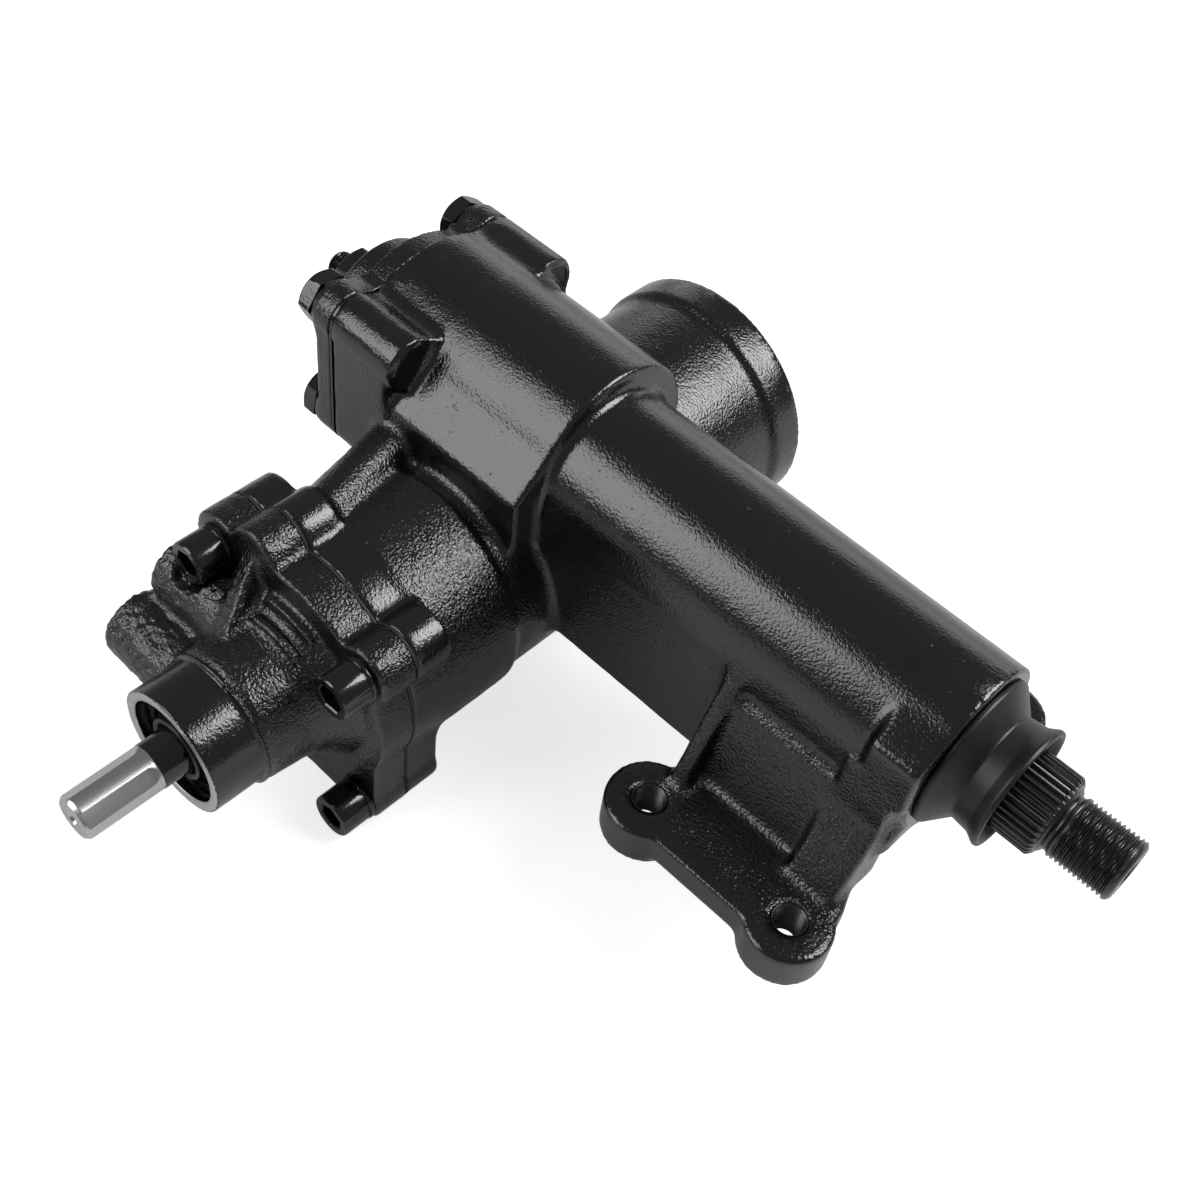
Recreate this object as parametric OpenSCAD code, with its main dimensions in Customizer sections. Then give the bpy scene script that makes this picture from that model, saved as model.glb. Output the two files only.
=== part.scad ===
// Integral power steering gear: a recirculating-ball worm drives a rack piston,
// and the rack turns a toothed sector shaft that carries the pitman arm.
// +X runs along the sector shaft towards its splined end, +Y along the worm away
// from the input shaft, +Z away from the chassis rail. Millimetres.

/* [Mounting] */
// Height of the sector shaft axis above the chassis rail face
axis_h = 67; // [67:0.5:72]
// Distance along the sector shaft from the worm axis to the first rail bolt
bolt_x = 129; // [126:0.5:131]
// Spacing of the rail bolts along the sector shaft
bolt_pitch_x = 66; // [60:0.5:66]
// Distance from the sector shaft axis to the near rail bolts
near_bolt_y = 67; // [65:0.5:72]
// Distance from the sector shaft axis to the far rail bolts
far_bolt_y = 63; // [61:0.5:70]
// Radius of the tapped rail bolt holes
rail_hole_r = 6.2; // [5:0.1:7]
// Radius of the round lobe at each rail bolt
lobe_r = 16.5; // [14:0.5:17.5]
// Height of a rail bolt lobe
lobe_h = 18; // [16:0.5:20]
// Thickness of the bracket plate between the lobes
plate_t = 13; // [9:0.5:14]

/* [Sector side] */
// Radius of the long sector shaft tube
tube_r = 33.7; // [32:0.1:35]
// End of the tube, from the worm axis
tube_end_x = 206; // [204:0.5:212]
// Depth of the stiffening skirt below the sector shaft axis
skirt_drop = 59; // [56:0.5:61]
// Wall of the hollow skirt
skirt_wall = 9; // [7:0.5:12]
// Radius of the sector chamber's crown
crown_r = 40; // [39:0.5:42]
// Distance from the sector shaft axis to the flat near wall of the chamber
near_wall_y = 45.5; // [44:0.5:47]
// End of the sector chamber, from the worm axis
chamber_end_x = 33; // [31:0.5:36]
// Radius of the sector shaft at its bearings
shaft_r = 17.5; // [16.8:0.1:18]
// Radius of the splined end, over the teeth
spline_r = 16; // [15:0.1:16.5]
// Number of spline teeth
spline_n = 36; // [24:1:40]
// End of the splines, from the worm axis
spline_end_x = 243; // [238:0.5:246]
// Radius of the nut thread at the shaft's end
thread_r = 12; // [10:0.1:13]
// End of the sector shaft, from the worm axis
shaft_end_x = 270.7; // [264:0.1:276]
// Lip radius of the dust boot
boot_lip_r = 24.3; // [22.5:0.1:26]

/* [Cover] */
// Cover joint face, from the worm axis
cover_joint = 66; // [64:0.5:68]
// Thickness of the cover plate
cover_t = 9; // [8:0.5:11]
// Cover bolt spacing across the shaft, measured along the worm
cover_bolt_y = 36; // [35:0.5:38]
// Cover bolt spacing across the shaft, measured upwards
cover_bolt_z = 25; // [24:0.5:27]
// Radius of the bolt bosses
bolt_boss_r = 11; // [10:0.5:11.5]
// Radius of the cover's round hub
hub_r = 26.5; // [25:0.5:28]
// Thread radius of the lash adjuster screw
adjuster_r = 6; // [5:0.1:7]

/* [Worm side] */
// Drop from the sector shaft axis to the worm axis
worm_drop = 52; // [52:0.5:53]
// Radius of the piston bore
bore_r = 40.05; // [39.5:0.05:40.5]
// Outer radius of the worm cylinder on the input side
near_cyl_r = 49; // [48:0.5:50]
// Outer radius of the worm cylinder on the far side
far_cyl_r = 50.5; // [49:0.5:51.5]
// Radius of the rim at the far end
rim_r = 52.7; // [52:0.1:55]
// Far end of the rim, from the sector axis
rim_end_y = 109.5; // [108:0.5:116]
// Joint face between the gear housing and the valve housing
valve_joint = 106; // [105:0.5:109]
// Thickness of each of the two joint flanges
flange_t = 16; // [14:0.5:17]
// Valve screw spacing from the worm axis, along the sector shaft
screw_x = 37.3; // [36.5:0.1:40]
// Height of the upper valve screws above the worm axis
screw_up = 32.5; // [31:0.5:34.5]
// Depth of the lower valve screws below the worm axis
screw_down = 46.7; // [44:0.1:48]
// Radius of the nose of the valve housing
nose_r = 25.9; // [25.5:0.1:28]
// Front of the nose, from the sector axis
nose_y = 178; // [176:0.5:184]
// Radius of the input shaft
input_r = 9.525; // [9:0.025:10]
// Front of the input shaft, from the sector axis
input_tip_y = 219; // [212:0.5:226]
// Distance from the input shaft's axis to each of its milled flats
input_flat = 8.4; // [8:0.1:8.8]

/* [Gear train] */
// Pitch radius of the sector teeth
sector_pr = 27; // [26:0.5:27.5]
// Number of sector teeth
sector_n = 3; // [3:2:3]
// Tooth pitch along the rack
tooth_p = 17.28; // [16.8:0.02:17.6]
// Height of a tooth above the pitch line
addendum = 4.6; // [4:0.1:4.7]
// Depth of a tooth below the pitch line
dedendum = 5.4; // [5.2:0.1:5.6]
// Pressure angle of the teeth
press_a = 25; // [24:0.5:27]
// Free play between meshing flanks
backlash = 0.5; // [0.3:0.05:0.8]
// Face width of the sector teeth
sector_w = 48; // [40:1:52]
// Lead of the worm's ball groove
lead = 12; // [11:0.5:13]
// Outer radius of the worm
worm_r = 12.2; // [11.8:0.1:12.4]
// Radius of a bearing ball
ball_r = 3.2; // [2.8:0.1:3.4]
// Travel of the rack piston each way
travel = 21.2; // [18:0.1:21.4]

/* [Hidden] */
$fn = 64;

// Running clearance on the radius of a turning or sliding fit
fit = 0.04;
// Room between faces of pieces that move past each other
room = 0.4;
worm_z = -worm_drop;
bolt_mid_x = bolt_x + bolt_pitch_x / 2;
bolt_mid_y = (far_bolt_y - near_bolt_y) / 2;
bolt_xs = [bolt_x, bolt_x + bolt_pitch_x];
plate_top = lobe_h - axis_h;
skirt_z = -skirt_drop;

// Sector chamber section, in Y and Z
crown_y = 4;
crown_z = 2;
shoulder_z = 7.3;
chamber_r = sector_pr + addendum + 1.4;
flange_back = 36;
boss_end = 32;
cover_face = cover_joint + cover_t + 1;
ear_face = cover_face + 3;
gasket_t = 1;
bolt_head_h = 7.5;
bolt_head_r = 10.4;
bolt_r = 5.8;
bolt_depth = 24;
hub_face = cover_face + 16;
hub_tip = hub_face + 6;
nut_h = 11;
adjuster_tip = hub_tip + nut_h + 9;

// Sector shaft stations, along X
bush_t = 4.5;
journal_r = 16;
journal_tip = cover_face + 9;
shaft_bore_r = shaft_r + bush_t;
inner_bush_x = [chamber_end_x + 9, chamber_end_x + 39];
seal_w = 9;
outer_bush_x = [tube_end_x - seal_w - 37, tube_end_x - seal_w - 3];
boot_root_r = 29.7;
boot_waist_r = 21;
boot_wall = 2.6;
boot_waist_x = tube_end_x + 9.5;
boot_lip_x = tube_end_x + 22;

// Worm stations, along Y
shoulder_y = -88;
race_r = 26;
race_y = shoulder_y - 3;
plug_y = rim_end_y - 12;
plug_r = 44;
piston_r = bore_r - 0.45;
piston_y = [-64, 72];
window_y = 56;
rack_line = worm_drop - sector_pr;
rack_tip = rack_line + addendum;
rack_root = rack_line - dedendum;
rack_w = sector_w + 5;
ball_ring_r = worm_r + 0.3;
ball_turns = 2.5;
circuit_r = ball_ring_r + ball_r + room;
nut_bore_r = worm_r + room;
worm_thread_y = [-43, 41];
thread_h = worm_thread_y[1] - worm_thread_y[0];
worm_head_y = race_y - 4.3;
worm_head_t = 6;
sleeve_r = 21.5;
sleeve_y = [-147, -valve_joint - 1];
spool_r = 12.2;
bearing_y = [-162, -150];
seal_y = [-171.5, -163];
seal_bore_r = 18.5;
nose_bore_r = 21.5;
torsion_r = 3.2;
screw_r = 6;
screw_head_r = 9;
screw_head_h = 14.5;
screw_depth = 24;
screw_spots = [[screw_x, screw_up], [screw_x - 2, -screw_down],
    [-screw_x - 3.7, screw_up + 1.5], [-screw_x, -screw_down]];
port_up = [-130, 16];
port_low = [-149.3, -5];
port_up_reach = 56;
port_low_reach = 60;
port_hole_r = 7;

cast_black = [0.05, 0.05, 0.055];
steel = [0.72, 0.72, 0.72];
dark_steel = [0.16, 0.16, 0.17];
rubber_black = [0.07, 0.07, 0.075];
bronze = [0.62, 0.48, 0.28];

// Everything is drawn about the sector axis and moved once to the rail face
module seated() translate([-bolt_mid_x, -bolt_mid_y, axis_h]) children();

// A shape drawn in Y and Z, carried along X from x0 to x1
module along_x(x0, x1) translate([x0, 0, 0]) rotate([90, 0, 90]) linear_extrude(x1 - x0) children();

// A shape drawn in X and Z about the worm axis, carried along Y from y0 to y1
module along_y(y0, y1) translate([0, y1, worm_z]) rotate([90, 0, 0]) linear_extrude(y1 - y0) children();

// A round bar about the sector axis, or about a line beside it
module bar_x(r, x0, x1, y = 0, z = 0) translate([x0, y, z]) rotate([0, 90, 0]) cylinder(r = r, h = x1 - x0);

// A round bar about the worm axis, or about a line beside it
module bar_y(r, y0, y1, x = 0, z = 0) translate([x, y1, worm_z + z]) rotate([90, 0, 0])
    cylinder(r = r, h = y1 - y0);

// A turned shape: points are radius and distance along X
module turned_x(points) rotate([90, 0, 90]) rotate_extrude() polygon(points);

// A turned shape about the worm: points are radius and distance along Y
module turned_y(points) translate([0, 0, worm_z]) rotate([-90, 0, 0]) rotate_extrude() polygon(points);

// A washer about the sector axis
module ring_x(r_in, r_out, x0, x1) difference() {
    bar_x(r_out, x0, x1);
    bar_x(r_in, x0 - 1, x1 + 1);
}

// A washer about the worm axis
module ring_y(r_in, r_out, y0, y1) difference() {
    bar_y(r_out, y0, y1);
    bar_y(r_in, y0 - 1, y1 + 1);
}

// Places its children at each cover bolt
module at_cover_bolts() for (sy = [-1, 1], sz = [-1, 1])
    translate([0, sy * cover_bolt_y, sz * cover_bolt_z]) children();

// Places its children at each valve screw, about the worm axis
module at_screws() for (s = screw_spots) translate([s[0], 0, s[1]]) children();

// Places its children at each rail bolt, on the rail face
module at_rail_bolts() for (x = bolt_xs, y = [-near_bolt_y, far_bolt_y])
    translate([x, y, -axis_h]) children();

// Crown and walls of the sector chamber: a round crown, a sloped facet that is
// tangent to it, and two walls that run down into the worm cylinder
module chamber_section() {
    facet_a = 128;
    translate([crown_y, crown_z]) circle(crown_r);
    polygon([[crown_y + (crown_r - 1) * cos(facet_a), crown_z + (crown_r - 1) * sin(facet_a)],
        [-near_wall_y, shoulder_z], [-near_wall_y, worm_z],
        [crown_y + crown_r, worm_z], [crown_y + crown_r, crown_z], [crown_y, crown_z]]);
}

// Outline of the cover joint: a round centre, a lobe at each bolt and straight sides
module cover_section() {
    circle(cover_bolt_y + 2.5);
    for (sy = [-1, 1], sz = [-1, 1]) translate([sy * cover_bolt_y, sz * cover_bolt_z]) circle(bolt_boss_r);
    translate([-cover_bolt_y - bolt_boss_r, -cover_bolt_z])
        square([2 * (cover_bolt_y + bolt_boss_r), 2 * cover_bolt_z]);
}

// The tube with the skirt that stiffens it down to the bracket
module tube_section() {
    circle(tube_r);
    translate([-tube_r + 0.6, skirt_z]) square([2 * tube_r - 1.2, -skirt_z]);
}

// The skirt stops short of the tube's end and slopes up to it
module skirt_end() translate([0, tube_r - 0.6, 0]) rotate([90, 0, 0]) linear_extrude(2 * tube_r - 1.2)
    polygon([[tube_end_x - 13, skirt_z], [tube_end_x - 12, skirt_z], [tube_end_x - 1, -tube_r + 2],
        [tube_end_x - 1, -tube_r + 9], [tube_end_x - 13, -tube_r + 9]]);

// Outline of the valve joint: a round centre, a lobe at each screw, straight
// sides and the lug over the oil passage
module joint_section() {
    circle(near_cyl_r - 0.7);
    for (i = [0:3]) translate(screw_spots[i]) circle(joint_lobes[i]);
    translate([-screw_x - 5, -screw_down]) square([2 * screw_x + 12, screw_up + screw_down]);
    translate([-screw_x + 1, -screw_down - 9.3]) square([2 * screw_x - 4, 20]);
    translate(passage_foot) circle(passage_r + 2.6);
}
joint_lobes = [12.4, 10.3, 13.6, 10.3];

// Oil passage cast along the top of the worm cylinder
passage_r = 10;
passage_foot = [-21, 44];
passage_head = [-34, 42];

module oil_passage() {
    foot = [passage_foot[0], -valve_joint + flange_t - 4, worm_z + passage_foot[1]];
    head = [passage_head[0], -near_wall_y + 6, worm_z + passage_head[1]];
    run = head - foot;
    translate(foot) rotate([-acos(run[2] / norm(run)), 0, atan2(-run[0], run[1])])
        cylinder(r = passage_r, h = norm(run));
}

// One side of the bracket plate in plan, drawn on the near side
module bracket_plan(y) {
    waist = y + lobe_r - 5;
    polygon([[bolt_xs[0] - 2, 1], [bolt_xs[0] - 2, -y + 8], [bolt_xs[0], -waist], [bolt_xs[1], -waist],
        [bolt_xs[1] + 12, -y + 6], [tube_end_x, -y + 17], [tube_end_x - 6, -y + 30],
        [tube_end_x - 11, -y + 43], [tube_end_x - 14, -8], [tube_end_x - 14, 1]]);
}

module lobe_plan() for (x = bolt_xs, y = [-near_bolt_y, far_bolt_y]) translate([x, y]) circle(lobe_r);

// Rail bracket: a plate with a lobe at each bolt, and the lobes' feet below it
module bracket() {
    translate([0, 0, plate_top - plate_t]) linear_extrude(plate_t) {
        bracket_plan(near_bolt_y);
        mirror([0, 1]) bracket_plan(far_bolt_y);
        lobe_plan();
    }
    translate([0, 0, -axis_h]) linear_extrude(lobe_h - plate_t) lobe_plan();
}

// Ribs and faces between the tube and the near bracket plate
fin_t = 7;
module near_ribs() {
    deep = plate_top - 4;
    along_x(bolt_x - 1, bolt_x - 1 + fin_t)
        polygon([[-tube_r + 4, 6], [-tube_r + 0.2, 2], [-near_bolt_y + 10, plate_top],
            [-near_bolt_y + 10, deep], [-tube_r + 7, deep]]);
    along_x(bolt_x + 5, bolt_xs[1] - 15)
        polygon([[-tube_r + 4, -6], [-tube_r - 3, -13], [-near_bolt_y + 20.5, plate_top],
            [-near_bolt_y + 20.5, deep], [-tube_r + 7, deep]]);
    along_x(bolt_xs[1] - 14, tube_end_x - 4)
        polygon([[-tube_r + 8, 8], [-tube_r - 2.5, 3], [-tube_r - 4, -18], [-near_bolt_y + 12.5, plate_top],
            [-near_bolt_y + 12.5, deep], [-tube_r + 7, deep]]);
    along_x(tube_end_x - 20, tube_end_x)
        polygon([[-12, 31.3], [-tube_r - 2.5, 18], [-tube_r - 2.5, -4], [0, 0]]);
}

// Gusset between the tube and the far bracket plate
module far_ribs() along_x(bolt_xs[1] - 12, tube_end_x - 3)
    polygon([[tube_r - 4, 0], [far_bolt_y - 12, plate_top], [far_bolt_y - 12, plate_top - 4],
        [tube_r - 7, plate_top - 4]]);

module gear_housing() color(cast_black) seated() difference() {
    union() {
        along_x(-flange_back, chamber_end_x) chamber_section();
        along_x(-cover_joint, -flange_back) cover_section();
        at_cover_bolts() bar_x(bolt_boss_r - 0.6, -flange_back - 3, -boss_end);
        along_x(chamber_end_x - 4, tube_end_x - 12) tube_section();
        bar_x(tube_r, tube_end_x - 12, tube_end_x);
        skirt_end();
        bar_y(near_cyl_r, -valve_joint + flange_t, -54.4);
        bar_y(near_cyl_r - 2.5, -55, 1);
        bar_y(far_cyl_r, 0, rim_end_y - 15);
        bar_y(rim_r, rim_end_y - 15, rim_end_y);
        along_y(-valve_joint, -valve_joint + flange_t) joint_section();
        oil_passage();
        bracket();
        near_ribs();
        far_ribs();
    }
    // Piston bore, shoulder and bearing recess
    bar_y(bore_r, shoulder_y, plug_y);
    bar_y(plug_r, plug_y, rim_end_y + 1);
    bar_y(plug_r + 1.2, rim_end_y - 3.4, rim_end_y - 1.4);
    bar_y(15, race_y - 1, shoulder_y + 1);
    bar_y(race_r, -valve_joint - 1, race_y);
    // Sector chamber and tube bore
    bar_x(chamber_r, -cover_joint - 1, chamber_end_x - 3);
    bar_x(shaft_bore_r, chamber_end_x - 4, tube_end_x + 1);
    // Hollow skirt, open towards the rail
    translate([chamber_end_x + 28, -tube_r + skirt_wall, -axis_h - 1])
        cube([bolt_xs[1] - chamber_end_x - 40, 2 * (tube_r - skirt_wall), axis_h - tube_r + 2]);
    at_cover_bolts() bar_x(bolt_r, -cover_joint - 1, -cover_joint + bolt_depth);
    at_screws() bar_y(screw_r, -valve_joint - 1, -valve_joint + flange_t + 1);
    at_rail_bolts() translate([0, 0, -1]) cylinder(r = rail_hole_r, h = lobe_h + 2);
}

module side_cover() color(cast_black) seated() difference() {
    union() {
        along_x(-cover_face, -cover_joint - gasket_t) cover_section();
        at_cover_bolts() bar_x(bolt_boss_r - 0.3, -ear_face, -cover_face + 2);
        turned_x([[0, -hub_tip], [15, -hub_tip], [hub_r, -hub_face], [hub_r, -cover_face + 1],
            [0, -cover_face + 1]]);
    }
    bar_x(journal_r + bush_t, -journal_tip - 2, -cover_joint);
    bar_x(adjuster_r, -hub_tip - 1, -journal_tip);
    at_cover_bolts() bar_x(bolt_r + room, -ear_face - 1, -cover_joint);
}

module cover_gasket() color(dark_steel) seated() difference() {
    along_x(-cover_joint - gasket_t, -cover_joint) cover_section();
    bar_x(chamber_r, -cover_joint - 2, -cover_joint + 1);
    at_cover_bolts() bar_x(bolt_r + room, -cover_joint - 2, -cover_joint + 1);
}

module cover_bolts() color(dark_steel) seated() at_cover_bolts() {
    bar_x(bolt_head_r, -ear_face - bolt_head_h, -ear_face, $fn = 6);
    bar_x(bolt_r, -ear_face - 1, -cover_joint + bolt_depth - 3);
}

module lash_adjuster() color(dark_steel) seated() {
    turned_x([[0, -adjuster_tip], [adjuster_r - 1, -adjuster_tip], [adjuster_r, -adjuster_tip + 1],
        [adjuster_r, -journal_tip + 2], [8.5, -journal_tip + 2], [8.5, -journal_tip + 6],
            [0, -journal_tip + 6]]);
}

module adjuster_nut() color(dark_steel) seated() difference() {
    bar_x(13.3, -hub_tip - nut_h, -hub_tip, $fn = 6);
    bar_x(adjuster_r, -hub_tip - nut_h - 1, -hub_tip + 1);
}

module cover_bushing() color(bronze) seated()
    ring_x(journal_r + fit, journal_r + bush_t, -journal_tip - 2 + room, -cover_joint - 2);

module inner_bushing() color(bronze) seated()
    ring_x(shaft_r + fit, shaft_bore_r, inner_bush_x[0], inner_bush_x[1]);

module outer_bushing() color(bronze) seated()
    ring_x(shaft_r + fit, shaft_bore_r, outer_bush_x[0], outer_bush_x[1]);

module sector_seal() color(rubber_black) seated()
    ring_x(shaft_r + fit, shaft_bore_r, tube_end_x - seal_w - 1, tube_end_x - 1);

// Dust boot: a cone from the tube's end to a waist, then a flared lip
module dust_boot() color(rubber_black) seated() turned_x([
    [boot_root_r, tube_end_x], [boot_root_r, tube_end_x + 2], [boot_waist_r, boot_waist_x],
    [boot_waist_r + 1.2, boot_lip_x - 5], [boot_lip_r, boot_lip_x - 1.5], [boot_lip_r - 0.6, boot_lip_x],
    [boot_lip_r - boot_wall, boot_lip_x], [boot_waist_r + 1.2 - boot_wall, boot_lip_x - 4],
    [boot_waist_r - boot_wall, boot_waist_x], [boot_root_r - boot_wall, tube_end_x + 2],
    [boot_root_r - boot_wall, tube_end_x]]);

// Involute of a flank, in degrees, at radius r on a base circle rb
function inv_deg(r, rb) = let (a = acos(min(1, rb / r))) tan(a) * 180 / PI - a;

// Half the angle that a sector tooth takes up at radius r
function tooth_half(r) = let (rb = sector_pr * cos(press_a))
    (tooth_p - backlash) / 4 / sector_pr * 180 / PI + inv_deg(sector_pr, rb) - inv_deg(max(r, rb), rb);

sector_root_r = sector_pr - dedendum;
sector_tip_r = sector_pr + addendum;
flank_steps = 6;
flank_rs = [for (i = [0:flank_steps]) sector_root_r - 1 + i * (sector_tip_r - sector_root_r + 1)
    / flank_steps];

// One sector tooth pointing down, turned by a
module sector_tooth(a) rotate(a - 90) polygon(concat(
    [for (r = flank_rs) r * [cos(tooth_half(r)), -sin(tooth_half(r))]],
    [for (i = [flank_steps:-1:0]) flank_rs[i] * [cos(tooth_half(flank_rs[i])),
        sin(tooth_half(flank_rs[i]))]]));

module sector_shaft() color(dark_steel) seated() difference() {
    union() {
        along_x(-sector_w / 2, sector_w / 2) {
            circle(sector_root_r);
            for (i = [0:sector_n - 1]) sector_tooth((i - (sector_n - 1) / 2)
                * tooth_p / sector_pr * 180 / PI);
        }
        turned_x([[0, -journal_tip], [journal_r - 1, -journal_tip], [journal_r, -journal_tip + 1],
            [journal_r, -sector_w / 2 - 4], [sector_root_r - 2, -sector_w / 2 - 2],
                [sector_root_r - 2, sector_w / 2 + 2],
            [shaft_r, sector_w / 2 + 4], [shaft_r, tube_end_x + 2], [spline_r - 1.4, tube_end_x + 4],
            [spline_r - 1.4, spline_end_x - 0.5], [thread_r + 1.2, spline_end_x],
            [thread_r - 1.4, spline_end_x + 1.2], [thread_r - 1.4, spline_end_x + 3],
            [thread_r, spline_end_x + 4.4], [thread_r, shaft_end_x - 1.5],
                [thread_r - 1.5, shaft_end_x], [0, shaft_end_x]]);
        intersection() {
            along_x(tube_end_x + 5, spline_end_x) spline_section();
            turned_x([[0, tube_end_x + 5], [spline_r, tube_end_x + 5], [spline_r, spline_end_x - 1.6],
                [spline_r - 1.6, spline_end_x], [0, spline_end_x]]);
        }
    }
    // Pocket for the head of the lash adjuster, and the centre drilling
    bar_x(10, -journal_tip - 1, -journal_tip + 8);
    turned_x([[0, shaft_end_x - 9], [3.2, shaft_end_x - 8], [3.2, shaft_end_x - 3],
        [5.2, shaft_end_x + 0.5], [0, shaft_end_x + 0.5]]);
}

// Straight-sided splines round the shaft
module spline_section() for (i = [0:spline_n - 1]) rotate(i * 360 / spline_n)
    polygon([[spline_r - 3, -1], [spline_r + 0.5, -0.55], [spline_r + 0.5, 0.55], [spline_r - 3, 1]]);

// Valve housing: joint flange, stepped round body and nose, with two port bosses
module valve_housing() color(cast_black) seated() difference() {
    union() {
        along_y(-valve_joint - flange_t, -valve_joint - gasket_t) joint_section();
        turned_y([[0, -nose_y], [nose_r - 0.6, -nose_y], [nose_r, -nose_y + 0.6], [nose_r, -157],
            [nose_r - 1, -156.4], [nose_r - 1, -155], [nose_r + 1.8, -154], [nose_r + 3, -138],
            [nose_r + 5, -131], [nose_r + 8.5, -126], [nose_r + 13, -valve_joint - flange_t + 1],
            [0, -valve_joint - flange_t + 1]]);
        port_boss(port_up, 14, port_up_reach);
        port_boss(port_low, 15.2, port_low_reach);
        valve_rib();
    }
    bar_y(sleeve_r + 0.5 + fit, sleeve_y[0] - 1.5, -valve_joint + 1);
    bar_y(seal_bore_r, seal_y[0] - 1, bearing_y[0]);
    bar_y(nose_bore_r, -nose_y - 1, seal_y[0]);
    bar_y(nose_bore_r + 0.8, seal_y[0] - 1.6, seal_y[0]);
    bar_y(input_r + 4.5, bearing_y[0] - 1, sleeve_y[0]);
    port_bore(port_up, port_up_reach);
    port_bore(port_low, port_low_reach);
    at_screws() bar_y(screw_r + room, -valve_joint - flange_t - 1, -valve_joint);
    // Room for the screw head beside the upper port
    bar_y(screw_head_r + 1, -valve_joint - flange_t - screw_head_h - 12, -valve_joint - flange_t,
        screw_spots[2][0], screw_spots[2][1]);
}

// A round hydraulic port boss that points to -X; at is its place along Y and above the worm
module port_boss(at, r, reach) bar_x(r, -reach, -6, at[0], worm_z + at[1]);

module port_bore(at, reach) {
    bar_x(port_hole_r, -reach - 1, -reach + 15, at[0], worm_z + at[1]);
    bar_x(4, -reach + 14, -6, at[0], worm_z + at[1]);
}

// Diagonal rib from the lug on the joint flange down to the round body
module valve_rib() translate([0, 0, worm_z]) rotate([0, -28.5, 0]) rotate([90, 0, 90])
    linear_extrude(8, center = true)
    polygon([[-valve_joint - 12, 24.5], [-146, 24.5], [-146, nose_r + 1.2], [-valve_joint - 12, 53.8]]);

module valve_gasket() color(dark_steel) seated() difference() {
    along_y(-valve_joint - gasket_t, -valve_joint) joint_section();
    bar_y(race_r, -valve_joint - 2, -valve_joint + 1);
    at_screws() bar_y(screw_r + room, -valve_joint - 2, -valve_joint + 1);
}

module valve_screws() color(dark_steel) seated() at_screws() difference() {
    union() {
        bar_y(screw_head_r, -valve_joint - flange_t - screw_head_h, -valve_joint - flange_t);
        bar_y(screw_r, -valve_joint - flange_t - 1, -valve_joint + flange_t - 1);
    }
    bar_y(5.8, -valve_joint - flange_t - screw_head_h - 1, -valve_joint - flange_t - screw_head_h + 7,
        $fn = 6);
}

module input_seal() color(rubber_black) seated() ring_y(input_r + fit, seal_bore_r, seal_y[0], seal_y[1]);

module seal_ring() color(steel) seated() difference() {
    ring_y(seal_bore_r - 2, nose_bore_r + 0.8, seal_y[0] - 1.6, seal_y[0]);
    translate([0, -nose_y, worm_z - nose_bore_r]) cube([7, nose_y, 16], center = true);
}

module input_bearing() color(steel) seated() ring_y(input_r + fit, input_r + 4.5, bearing_y[0], bearing_y[1]);

module lower_thrust_bearing() color(steel) seated() ring_y(worm_r + 1.5, race_r - 1.5, race_y - 4, race_y);

module upper_thrust_bearing() color(steel) seated()
    ring_y(worm_r + 3.6, race_r - 1.5, worm_head_y - worm_head_t - 4.3, worm_head_y - worm_head_t - 0.3);

module end_plug() color(dark_steel) seated() difference() {
    bar_y(plug_r, plug_y, rim_end_y - 3.4);
    ring_y(plug_r - 2.6, plug_r + 1, plug_y + 2.4, plug_y + 5.4);
    translate([0, rim_end_y - 5, worm_z]) cube([12.7, 8, 12.7], center = true);
}

module end_plug_oring() color(rubber_black) seated() ring_y(plug_r - 2.6, plug_r, plug_y + 2.4, plug_y + 5.4);

module end_plug_ring() color(steel) seated() difference() {
    ring_y(plug_r - 4, plug_r + 1.2, rim_end_y - 3.4, rim_end_y - 1.4);
    translate([0, rim_end_y, worm_z + plug_r]) cube([9, 12, 16], center = true);
}

// Rack teeth along Y, drawn about the sector axis
module rack_teeth() {
    half = (tooth_p - backlash) / 4;
    lean = tan(press_a);
    for (k = [-1.5:1:1.5]) translate([k * tooth_p, -sector_pr]) polygon([
        [-half - dedendum * lean, -dedendum - 0.5], [-half - dedendum * lean, -dedendum],
        [-half + addendum * lean, addendum], [half - addendum * lean, addendum],
        [half + dedendum * lean, -dedendum], [half + dedendum * lean, -dedendum - 0.5]]);
}

module rack_piston() color(steel) seated() difference() {
    union() {
        difference() {
            bar_y(piston_r, piston_y[0], piston_y[1]);
            translate([-60, -window_y, worm_z + rack_root]) cube([120, 2 * window_y, 60]);
        }
        intersection() {
            along_x(-rack_w / 2, rack_w / 2) rack_teeth();
            bar_y(piston_r, -window_y, window_y);
        }
    }
    bar_y(nut_bore_r, piston_y[0] - 1, piston_y[1] - 8);
    bar_y(nut_bore_r + 1, piston_y[1] - 8.1, piston_y[1] + 1);
    bar_y(circuit_r, -ball_turns * lead / 2 - 2 * ball_r, ball_turns * lead / 2 + 2 * ball_r);
    ring_y(piston_r - 3, piston_r + 1, piston_y[1] - 9, piston_y[1] - 5);
    // Flat and pocket for the ball guide on the side away from the teeth
    translate([-60, -guide_span / 2 - 14, worm_z - 60]) cube([120, guide_span + 28, 60 - guide_flat]);
    for (s = [-1, 1]) translate([0, s * guide_span / 2, worm_z - 40]) cylinder(r = guide_r + 0.4, h = 30);
    for (s = [-1, 1]) translate([s * clamp_x, 0, worm_z - 40]) cylinder(r = 2.5, h = 40 - guide_flat + 8);
}

guide_span = ball_turns * lead;
guide_r = ball_r + 1.1;
guide_flat = circuit_r + 3.9;
clamp_x = 15;
clamp_t = 2.5;

module piston_ring() color(dark_steel) seated()
    ring_y(piston_r - 3, bore_r - fit, piston_y[1] - 9, piston_y[1] - 5);

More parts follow.
